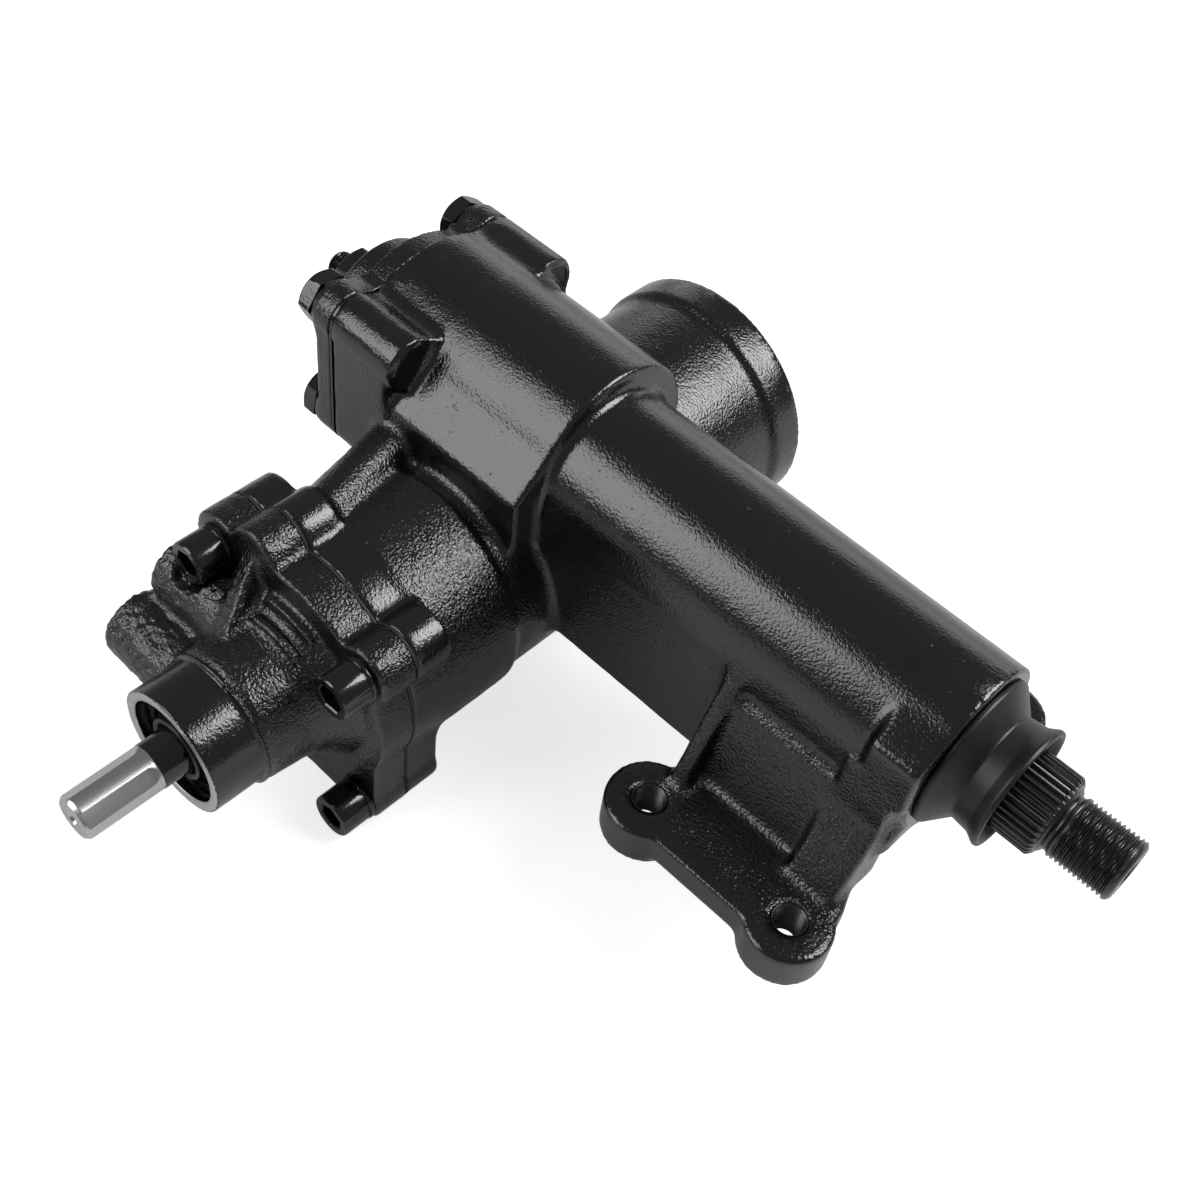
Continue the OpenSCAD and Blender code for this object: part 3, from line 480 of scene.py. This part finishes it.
def casting(name, node, voxel, fillet, edge, crisp, bores, grain, seed, lumps=LUMPS, raised=(), webs=(),
            milled=()):
    """A node's solid as it leaves the sand: grown and shrunk by the fillet to fill inside corners, shrunk and
    grown by the edge to round outside ones, then milled, turned and bored again. crisp and bores are round
    bars, (axis, centre, radius, from, to), that are put back sharp or cut out. The skin follows the distance
    field and ripples along its slope, more where the grain is coarse."""
    points, triangles = cad_shell(node)
    faces = [triangles]
    for offset in (fillet, -fillet - edge, edge):
        points, faces = offset_shell(points, faces, offset, voxel)
    dense, low = dense_field(points, faces, voxel)
    grid = [((np.arange(n) + first) * voxel).astype(np.float32) for n, first in zip(dense.shape, low)]
    grid = [g.reshape([-1 if i == k else 1 for i in range(3)]) for k, g in enumerate(grid)]
    join_webs(dense, grid, webs)
    mill(dense, grid, low, voxel, milled)
    melt_on(dense, grid, raised)
    for bar in crisp:
        np.minimum(dense, round_bar(grid, *bar), out=dense)
    for bar in bores:
        np.maximum(dense, -round_bar(grid, *bar), out=dense)
    field = openvdb.FloatGrid(BAND * voxel)
    field.transform = openvdb.createLinearTransform(voxelSize=voxel)
    field.copyFromArray(dense, ijk=tuple(low.tolist()))
    field.gridClass = openvdb.GridClass.LEVEL_SET
    points, triangles, quads = field.convertToPolygons(isovalue=0.0, adaptivity=0.0)
    rough = grain(points)
    swell = ripple(points, LUMP_SIZES, lumps, seed) * np.minimum(rough, 1)
    swell += ripple(points, COARSE_SIZES, COARSE_LUMPS, seed + 50) * np.clip(rough - 1, 0, 1)
    skin = points + slope(dense, points / voxel - low) * swell[:, None]
    outward = [triangles[:, ::-1], quads[:, ::-1]]
    thing = new_object(name, skin, outward, ENAMEL, "housing", (node,))
    shown = thing.data.attributes.new("grain", "FLOAT", "POINT")
    shown.data.foreach_set("value", np.minimum(rough, 1).astype(np.float32))
    thin_out(thing, len(triangles) + 2 * len(quads))
    return thing


def near(points, low, high, soft=4.0):
    """1 inside a box and 0 outside, softened over a few millimetres."""
    inside = np.minimum(points - np.array(low), np.array(high) - points).min(axis=1)
    return np.clip(inside / soft + 0.5, 0, 1)


def housing_grain(points):
    """Coarse sand on the worm's cylinder and the low faces, finer on the tube and the crown."""
    cylinder = near(points, (-70, -90, -110), (75, -46, 20), 6)
    low_faces = near(points, (125, -70, -60), (210, -28, 6), 6)
    walls = near(points, (-70, -50, -110), (200, 50, -8), 10)
    far_end = near(points, (-70, 46, -110), (75, 100, 20), 6)
    flange = near(points, (-70, -50, -30), (-36, -38, 24), 4)
    coarser = [0.7 * cylinder, 0.6 * low_faces, 0.4 * walls, 0.3 * far_end, 0.6 * flange]
    return 0.3 + np.maximum.reduce(coarser)


def valve_grain(points):
    """Coarse sand on the body, the rib and the ports; the turned nose is smooth."""
    nose = np.clip((-156.0 - points[:, 1]) / 1.5, 0, 1) * near(points, (-27, -190, -80), (27, -150, -20), 2)
    ports = np.clip((-27 - points[:, 0]) / 4, 0, 1) * np.clip((-124 - points[:, 1]) / 3, 0, 1)
    rib = near(points, (-32, -146, -26), (-8, -124, 10), 4)
    return 1.0 - 0.8 * nose + np.maximum(0.8 * ports, 0.5 * rib)


def even_grain(points):
    """The same sand all over."""
    return np.full(len(points), 0.75)


# Places of the cover's bolts (y, z), the valve's screws (x, z from the worm) and the rail's bolts (x, y)
COVER_SPOTS = [(sy * 36.0, sz * 25.0) for sy in (-1, 1) for sz in (-1, 1)]
SCREW_SPOTS = [(37.3, 32.5), (35.3, -46.7), (-41.0, 34.0), (-37.3, -46.7)]
RAIL_SPOTS = [(x, y) for x in (129.0, 195.0) for y in (-67.0, 63.0)]

# Clearance that a bore leaves round the piece in it, how far a bore runs past a joint, and the sector's axis
FIT = 0.12
PAST = 6.0
SECTOR = (0, 0)

# Gear housing: the piston's bore, the end plug's with its ring groove, the worm's passage, the bearing's
# seat, the sector's chamber and its shaft's bore
PISTON_R, PLUG_R, PLUG_GROOVE_R, PASSAGE_R, BEARING_R = 40.05, 44, 45.2, 15, 26
CHAMBER_R, SHAFT_R = 33, 22
PLUG_SEAT, CHAMBER_END = 97.5, 30
COVER_BOLT_R, VALVE_SCREW_R, RAIL_HOLE_R = 5.8, 6, 6.3
# Its turned rims, the crown over the sector and the bolt bosses at the crown's upper corners
TUBE_R, RIM_R = 33.7, 52.7
CROWN, CROWN_R = (4, 2), 39.8
BOSS_R, WEB_WIDTH = 11.6, 9.0

housing_bores = [
    ("y", WORM, PISTON_R + FIT, -88, PLUG_SEAT), ("y", WORM, PLUG_R + FIT, PLUG_SEAT, 114),
    ("y", WORM, PLUG_GROOVE_R, 106.1, 108.1), ("y", WORM, PASSAGE_R, -92, -87),
    ("y", WORM, BEARING_R + FIT, VALVE_JOINT - PAST, -91),
    ("x", SECTOR, CHAMBER_R, COVER_JOINT - PAST, CHAMBER_END),
    ("x", SECTOR, SHAFT_R + FIT, CHAMBER_END - 1, TUBE_END + PAST)]
housing_bores += [("x", spot, COVER_BOLT_R + FIT, COVER_JOINT - PAST, -42) for spot in COVER_SPOTS]
housing_bores += [("y", (x, WORM_Z + z), VALVE_SCREW_R + FIT, VALVE_JOINT - PAST, -89)
                  for x, z in SCREW_SPOTS]
housing_bores += [("z", spot, RAIL_HOLE_R, -72, -40) for spot in RAIL_SPOTS]
housing_crisp = [("x", SECTOR, TUBE_R, 190, TUBE_END), ("y", WORM, RIM_R, 96, 109.5),
                 ("x", CROWN, CROWN_R, -64, -30)]
housing_webs = [(("x", CROWN, CROWN_R, -70, -33), ("x", spot, BOSS_R, -70, -33), WEB_WIDTH)
                for spot in COVER_SPOTS[1::2]]
casting("gear_housing_casting", "gear_housing", 1.0, 2.0, 0.7, housing_crisp, housing_bores, housing_grain, 3,
        webs=housing_webs, milled=[(0, COVER_JOINT, 1), (1, VALVE_JOINT, 1)])

# Side cover: the bushing's bore, the adjuster's and the bolts'
BUSHING_R, ADJUSTER_R, COVER_HOLE_R, COVER_R = 20.5, 6, 6.2, 38.4
past_cover = COVER_JOINT + PAST
cover_bores = [("x", SECTOR, BUSHING_R + FIT, -87, past_cover), ("x", SECTOR, ADJUSTER_R + FIT, -104, -80)]
cover_bores += [("x", spot, COVER_HOLE_R, -84, past_cover) for spot in COVER_SPOTS]
cover_webs = [(("x", SECTOR, COVER_R, -76, past_cover), ("x", spot, BOSS_R, -76, past_cover), WEB_WIDTH)
              for spot in COVER_SPOTS[1::2]]
casting("side_cover_casting", "side_cover", 0.75, 2.0, 0.6, [], cover_bores, even_grain, 5,
        webs=cover_webs, milled=[(0, COVER_JOINT - GASKET_T, -1)])

# Valve housing: the sleeve's bore, the seal's, the nose's mouth with its ring groove, the needle bearing's,
# the two ports with the drillings behind them, and the screws' holes
SLEEVE_R, SEAL_R, MOUTH_R, MOUTH_GROOVE_R, NEEDLE_R = 22.04, 18.5, 21.5, 22.3, 14.03
PORT_R, DRILLING_R, SCREW_HOLE_R = 7, 4, 6.4
UPPER_PORT, LOWER_PORT = (-130.0, WORM_Z + 16), (-149.3, WORM_Z - 5)
NOSE_R, NOSE_RING_R = 25.9, 27.5
past_valve = VALVE_JOINT + 4
valve_bores = [
    ("y", WORM, SLEEVE_R + FIT, -148.5, past_valve), ("y", WORM, SEAL_R + FIT, -172.5, -162),
    ("y", WORM, MOUTH_R, NOSE_END - PAST, -171.5), ("y", WORM, MOUTH_GROOVE_R, -173.1, -171.5),
    ("y", WORM, NEEDLE_R + FIT, -163, -147),
    ("x", UPPER_PORT, PORT_R, -62, -41), ("x", UPPER_PORT, DRILLING_R, -42, -6),
    ("x", LOWER_PORT, PORT_R, -66, -45), ("x", LOWER_PORT, DRILLING_R, -46, -6)]
valve_bores += [("y", (x, WORM_Z + z), SCREW_HOLE_R, -128, past_valve) for x, z in SCREW_SPOTS]
valve_crisp = [("y", WORM, NOSE_R, NOSE_END, -157), ("y", WORM, NOSE_RING_R, -157.2, -155.6)]
valve_arcs = [("y", WORM, 37.5, -126.6, -122.5, -10, 15), ("y", WORM, 33.0, -133.6, -130.4, -8, 14)]
valve = casting("valve_housing_casting", "valve_housing", 0.7, 2.0, 0.6, valve_crisp, valve_bores,
                valve_grain, 8, 0.1, valve_arcs, milled=[(1, VALVE_JOINT - GASKET_T, -1)])


def repaint(thing, material, chosen):
    """Gives a second finish to the faces whose middles, in gear millimetres, are chosen."""
    mesh = thing.data
    mesh.materials.append(material)
    middle = np.empty(len(mesh.polygons) * 3, np.float32)
    mesh.polygons.foreach_get("center", middle)
    middle = middle.reshape(-1, 3) / MM - GEAR_TO_PART
    mesh.polygons.foreach_set("material_index", chosen(middle).astype(np.int32))


def on_nose_face(places):
    """The end face of the nose, turned after painting."""
    inside_edge = np.hypot(places[:, 0], places[:, 2] - WORM_Z) < NOSE_R - 0.6
    return (places[:, 1] < NOSE_END + 0.4) & inside_edge


repaint(valve, BARE_FACE, on_nose_face)


# Fasteners and turned pieces

def screw_thread(start, end, pitch, depth):
    """Helical V thread: the radius falls by depth times a triangle wave that moves along one pitch a turn,
    cut flat at crest and root, and fading out over one pitch at both ends."""
    def cut(radius, along, angle):
        wave = np.abs(np.mod(along / pitch - angle / TURN, 1) * 2 - 1)
        fade = np.clip(np.minimum(along - start, end - along) / pitch, 0, 1)
        return radius - depth * np.clip(wave * 1.3 - 0.15, 0, 1) * fade
    return cut


def rows_along(radius, start, end, step):
    """Profile rows of one radius, a step apart, so that a thread has points to follow."""
    along = np.linspace(start, end, max(2, int(abs(end - start) / step) + 1))
    return np.column_stack([np.full_like(along, radius), along])


def hex_profile(half_width, base, top, chamfer=1.5):
    """Rows of a hexagon head from its washer face to its top, with the top's corners turned off in a cone."""
    corner = half_width / math.cos(math.pi / 6)
    washer = half_width * 0.96
    taper = half_width * 0.95 - corner
    out = math.copysign(1.0, top - base)
    rows = [(washer, base, washer), (washer, base + 0.5 * out, washer),
            (half_width, base + 0.5 * out, corner * 0.985), (half_width, base + 0.9 * out, corner)]
    rows += [(half_width, top - out * chamfer * (1 - t), corner + taper * t) for t in np.linspace(0, 1, 7)]
    return rows


# Each bolt and screw stands at its own turn, as it was tightened
BOLT_TURNS = (0.2, 0.62, 0.35, 0.05)
SCREW_TURNS = (0.1, 0.45, 0.3, 0.0)

bolt_rows = [(0, -45, 0), (4.8, -45, 4.8), (5.8, -46, 5.8), (5.8, -79, 5.8)]
bolt_rows += hex_profile(9.6, -79.0, -86.5) + [(0, -86.5, 0)]
bolts = [about_x(sixfold(bolt_rows, 120, turn), y, z) for (y, z), turn in zip(COVER_SPOTS, BOLT_TURNS)]
piece("cover_hex_bolts", bolts, SMOOTH_ENAMEL, "housing", ("cover_bolts",))

# Shank, washer, neck and round head, then the hexagon socket down to its drill point
screw_rows = [(0, -91, 0), (5, -91, 5), (6, -92, 6), (6, -121.9, 6),
              (9.2, -122, 9.2), (9.4, -122.3, 9.4), (9.4, -123.9, 9.4), (9.2, -124.2, 9.2),
              (8.7, -124.3, 8.7), (8.7, -124.7, 8.7), (9, -125, 9), (9, -135.5, 9),
              (8.85, -136.1, 8.85), (8.4, -136.5, 8.4), (5.5, -136.5, 6.35), (5.02, -135.9, 5.8),
              (5.02, -129.6, 5.8), (4.4, -129.2, 4.6), (0, -128.0, 0)]
screws = [about_y(sixfold(screw_rows, 120, turn), x, WORM_Z + z) for (x, z), turn
          in zip(SCREW_SPOTS, SCREW_TURNS)]
piece("valve_socket_screws", screws, SMOOTH_ENAMEL, "housing", ("valve_screws",))

# Head in the sector's slot, plain neck, thread, and the key socket in its end
stud_rows = np.vstack([
    [(0, -79), (8.1, -79), (8.5, -79.4), (8.5, -82.6), (8.1, -83), (6, -83), (6, -97)],
    rows_along(6, -97.2, -117, 0.15),
    [(5.2, -117.9), (4.8, -118), (3.4, -118), (3.1, -117.6), (3.1, -114), (0, -113)]])
stud = about_x(turned(stud_rows, 96, screw_thread(-117.8, -97, 1.5, 0.85)))
piece("lash_adjuster_stud", [stud], SMOOTH_ENAMEL, "housing", ("lash_adjuster",))
nut_rows = [(6.05, -98, 6.05)] + hex_profile(11.5, -98.0, -109.0, 1.8)
nut_rows += [(7.0, -109, 7.0), (6.05, -108.2, 6.05), (6.05, -98, 6.05)]
piece("adjuster_lock_nut", [about_x(sixfold(nut_rows, 120, 0.3))], SMOOTH_ENAMEL, "housing",
      ("adjuster_nut",))

# Thread cut in the four rail holes of the bracket
rail_rows = np.vstack([rows_along(6.35, -66.8, -49.2, 0.15), [(6.6, -49.2), (6.6, -66.8), (6.35, -66.8)]])
rail_thread = turned(rail_rows, 72, screw_thread(-67.5, -48.5, 1.75, 1.0))
piece("rail_hole_threads", [about_z(rail_thread, x, y) for x, y in RAIL_SPOTS], CUT_THREAD, "housing",
      ("gear_housing",), 60)

# Outside of the boot from the tube to its lip, then the inside back again
boot_rows = eased([(29.7, 206.1), (29.7, 208), (21.2, 215.5), (22.0, 222.5), (24.3, 226.4), (23.9, 228),
                   (21.9, 228), (19.8, 223), (18.4, 215.5), (27.1, 208), (27.1, 206.1)], 0.7, True)
piece("rubber_dust_boot", [about_x(turned(boot_rows, 128))], RUBBER, "housing", ("dust_boot",), 30)


# Sector shaft

SPLINE_TEETH, SPLINE_TIP, SPLINE_ROOT, SPLINE_END = 36, 16.0, 14.5, 243.0
THREAD_START, THREAD_END, THREAD_PITCH = 247.0, 269.6, 1.814
SECTOR_CUT = 210.0


def splined_end(radius, along, angle):
    """Splines as far as their end, where the radius is the lesser of the turned profile and a tooth wave
    flattened at tip and root; past them a helical thread."""
    wave = np.clip(0.5 + 0.95 * np.cos(SPLINE_TEETH * angle), 0, 1)
    tooth = SPLINE_ROOT + (SPLINE_TIP - SPLINE_ROOT) * wave
    splined = np.where(along <= SPLINE_END, np.minimum(radius, tooth), radius)
    return screw_thread(THREAD_START, THREAD_END, THREAD_PITCH, 1.1)(splined, along, angle)


# Splines, the neck behind the thread, the thread, and the end face with its centre hole
end_rows = np.vstack([
    [(0, SECTOR_CUT), (SPLINE_TIP, SECTOR_CUT), (SPLINE_TIP, 241.2), (15.8, 241.6), (15.2, 242.2),
     (14.2, SPLINE_END)],
    eased([(14.2, 243.02), (13.3, 243.2), (12.2, 244.2), (10.9, 244.8), (10.9, 246), (12, THREAD_START)],
          0.5),
    rows_along(12, 247.1, 269.2, 0.17),
    [(11.4, 269.9), (10.4, 270.6), (10.1, 270.7), (5.4, 270.7), (5.0, 270.4), (3.2, 267.7), (3.2, 262.7),
     (0, 261.7)]])
piece("sector_shaft_end", [about_x(turned(end_rows, SPLINE_TEETH * 10, splined_end))], DARK_STEEL, "sector",
      ("sector_shaft",), 30)
cad_copy("sector_shaft_body", "sector_shaft", GREY_STEEL, "sector", (1, 0, 0), SECTOR_CUT)


# Input shaft, and the seal round it

COUPLING_R, REGISTER_R, JOURNAL_R = 9.075, 9.3, 9.525
FLAT_TURN, FLAT_HALF_WIDTH = math.radians(-38), 8.4
RUN_OUT_START, RUN_OUT_LENGTH = -191.5, 4.0
FLATS_END = -187.3
INPUT_CUT = -172.0


def milled_flats(radius, along, angle):
    """Four flats: the radius is the lesser of the turned one and the flat's distance over the cosine of the
    angle from its middle; the flats rise a millimetre, in the cutter's arc, where they run out."""
    fold = np.mod(angle - FLAT_TURN + math.pi / 4, math.pi / 2) - math.pi / 4
    run_out = np.clip((along - RUN_OUT_START) / RUN_OUT_LENGTH, 0, 1)
    return np.minimum(radius, (FLAT_HALF_WIDTH + run_out ** 2) / np.cos(fold))


# Centre hole and end face, the stretch with flats, the register and the journal in the seal
input_rows = np.vstack([
    [(0, -213), (1.5, -213.5), (1.5, -216.6), (2.9, -219), (7.4, -219), (7.9, -218.9), (8.8, -217.9),
     (COUPLING_R, -217.3)],
    rows_along(COUPLING_R, -217, -187.4, 0.5),
    [(REGISTER_R, -187), (REGISTER_R, -179), (JOURNAL_R, -178.6), (JOURNAL_R, INPUT_CUT), (0, INPUT_CUT)]])
input_end = piece("input_shaft_end", [about_y(turned(input_rows, 180, milled_flats))], BRIGHT_STEEL, "input",
                  ("input_shaft",), 32)
repaint(input_end, SMOOTH_ENAMEL, lambda places: places[:, 1] > FLATS_END)
cad_copy("input_shaft_spool", "input_shaft", GREY_STEEL, "input", (0, -1, 0), INPUT_CUT)

# The seal's case, its face folded in three rings, and the dust lip that stands up round the journal
seal_face = np.linspace(18.3, 13.6, 60)
seal_folds = -170.4 - 0.9 * np.cos((18.3 - seal_face) * TURN / 1.57)
dust_lip = eased([(13.3, -171.0), (13.1, -176.2), (12.0, -176.8), (10.9, -175.8), (10.3, -173.4),
                  (9.75, -173.0), (9.62, -170.8)], 0.5)
seal_rows = np.vstack([[(18.45, -163), (18.45, -171)], np.column_stack([seal_face, seal_folds]), dust_lip,
                       [(9.62, -163), (18.45, -163)]])
piece("input_shaft_seal", [about_y(turned(seal_rows, 128))], RUBBER, "housing", ("input_seal",), 30)


# CAD pieces that keep their shape
KEPT = {GASKET: ("valve_gasket",), BRONZE: ("cover_bushing", "inner_bushing", "outer_bushing"),
        RUBBER: ("sector_seal", "end_plug_oring"), RING_PLASTIC: ("piston_ring", "sleeve_rings"),
        SMOOTH_ENAMEL: ("cover_gasket", "seal_ring", "end_plug", "end_plug_ring"),
        GREY_STEEL: ("input_bearing", "lower_thrust_bearing", "upper_thrust_bearing", "rack_piston",
                     "rack_end_plug", "ball_guide", "guide_clamp", "clamp_screws", "bearing_balls",
                     "worm_shaft", "valve_sleeve", "sleeve_pin", "torsion_bar", "torsion_pin")}
for finish, names in KEPT.items():
    for kept in names:
        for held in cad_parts[kept].material_slots:
            held.material = finish


# Floor, light and air

# Floor, in metres: its radius, the sweep at its edge, the wall's top, and the gap under the gear
FLOOR_R, SWEEP_R, WALL_TOP, FLOOR_GAP = 6.0, 2.5, 5.0, 0.0006
FLOOR_SHADE, CAMERA_LIFT, MIRROR_LIFT = "#cccccc", 0.75, 0.1
LAMP_AIM = np.array([-0.06, 0.0, 0.03])
AIR_STRENGTH = 0.2


def floor_finish():
    """Pale and matt. What the camera sees of it is lifted to white, and what reflections see a little."""
    material = bpy.data.materials.new("pale_studio_floor")
    material.use_nodes = True
    tree = material.node_tree
    shader = tree.nodes["Principled BSDF"]
    shader.inputs["Base Color"].default_value = linear(FLOOR_SHADE)
    shader.inputs["Roughness"].default_value = 0.9
    shader.inputs["Specular IOR Level"].default_value = 0.0
    shader.inputs["Emission Color"].default_value = (1, 1, 1, 1)
    path = add(tree, "ShaderNodeLightPath")
    mirrored = add(tree, "ShaderNodeMath", {"operation": "MAXIMUM"},
                   links={0: (path, "Is Glossy Ray"), 1: (path, "Is Transmission Ray")})
    dimmed = add(tree, "ShaderNodeMath", {"operation": "MULTIPLY"}, sockets={1: MIRROR_LIFT},
                 links={0: (mirrored, 0)})
    lift = add(tree, "ShaderNodeMath", {"operation": "MULTIPLY_ADD"}, sockets={1: CAMERA_LIFT},
               links={0: (path, "Is Camera Ray"), 2: (dimmed, 0)})
    tree.links.new(lift.outputs[0], shader.inputs["Emission Strength"])
    return material


def make_floor():
    """A round floor whose edge sweeps up in a quarter circle to a straight wall."""
    bend = np.linspace(0, math.pi / 2, 17)
    radius = np.concatenate([[0.0], FLOOR_R + SWEEP_R * np.sin(bend), [FLOOR_R + SWEEP_R]])
    height = np.concatenate([[0.0], SWEEP_R * (1 - np.cos(bend)), [WALL_TOP]]) + cad_box[0][2] - FLOOR_GAP
    rim = np.linspace(0, TURN, 96, endpoint=False)
    grid = np.stack([np.outer(radius, np.cos(rim)), np.outer(radius, np.sin(rim)),
                     np.repeat(height[:, None], len(rim), axis=1)], axis=-1)
    index = np.arange(grid.shape[0] * len(rim)).reshape(grid.shape[:2])
    ahead = np.roll(index, -1, axis=1)
    quads = np.stack([index[:-1], index[1:], ahead[1:], ahead[:-1]], axis=-1).reshape(-1, 4)
    mesh = bpy.data.meshes.new("floor")
    mesh.from_pydata(grid.reshape(-1, 3).tolist(), [], quads.tolist())
    mesh.shade_smooth()
    mesh.materials.append(floor_finish())
    floor = bpy.data.objects.new("floor", mesh)
    bpy.context.collection.objects.link(floor)


def softbox(name, azimuth, elevation, distance, size, radiance):
    """A soft light at an azimuth and elevation, turned to the gear; its watts are radiance x area x pi."""
    directions = facing(azimuth, elevation)
    data = bpy.data.lights.new(name, "AREA")
    data.shape = "RECTANGLE"
    data.size, data.size_y = size
    data.energy = radiance * size[0] * size[1] * math.pi
    put(bpy.data.objects.new(name, data), directions, directions[2] * distance + LAMP_AIM)


make_floor()
softbox("front_left_softbox", -34, 34, 1.6, (0.9, 1.2), 3.6)
softbox("back_right_softbox", 138, 47, 1.6, (0.95, 1.05), 8.5)
softbox("back_wall_glow", -156, 13, 1.8, (2.0, 0.7), 1.0)
world = bpy.data.worlds.new("studio_air")
bpy.context.scene.world = world
world.use_nodes = True
air = world.node_tree.nodes["Background"]
air.inputs["Color"].default_value = (1, 1, 1, 1)
air.inputs["Strength"].default_value = AIR_STRENGTH
bpy.context.scene.view_settings.view_transform = "Standard"
